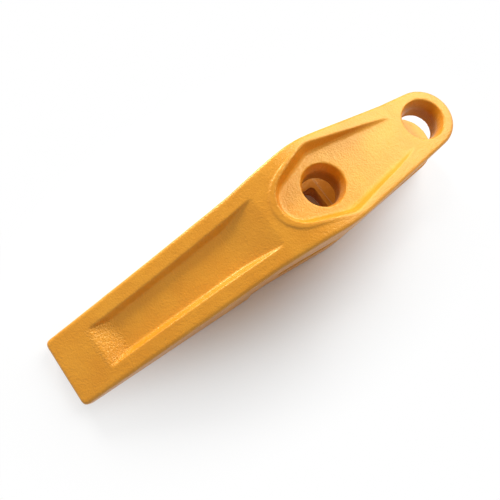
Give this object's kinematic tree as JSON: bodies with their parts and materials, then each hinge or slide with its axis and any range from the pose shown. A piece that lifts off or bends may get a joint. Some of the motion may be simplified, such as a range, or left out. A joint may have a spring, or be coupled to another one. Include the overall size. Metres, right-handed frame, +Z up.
{
  "type": "bucket tooth",
  "caption": "Bolt-on bucket tooth: a wedge blade with a long pocket, forked straps that hold the bucket lip and a recessed pad for the bolts.",
  "frame": {"origin": "where the front bolt's axis meets the face of the upper strap that seats on the lip plate", "axes": "+X from the cutting tip back to the strap ends, +Y to the left side seen from the tip, +Z up through the upper strap along the bolts"},
  "size_m": [0.271, 0.0566, 0.0622],
  "materials": {
    "paint": "satin"
  },
  "bodies": {
    "root": {"bucket_tooth": "paint"}
  },
  "joints": []
}
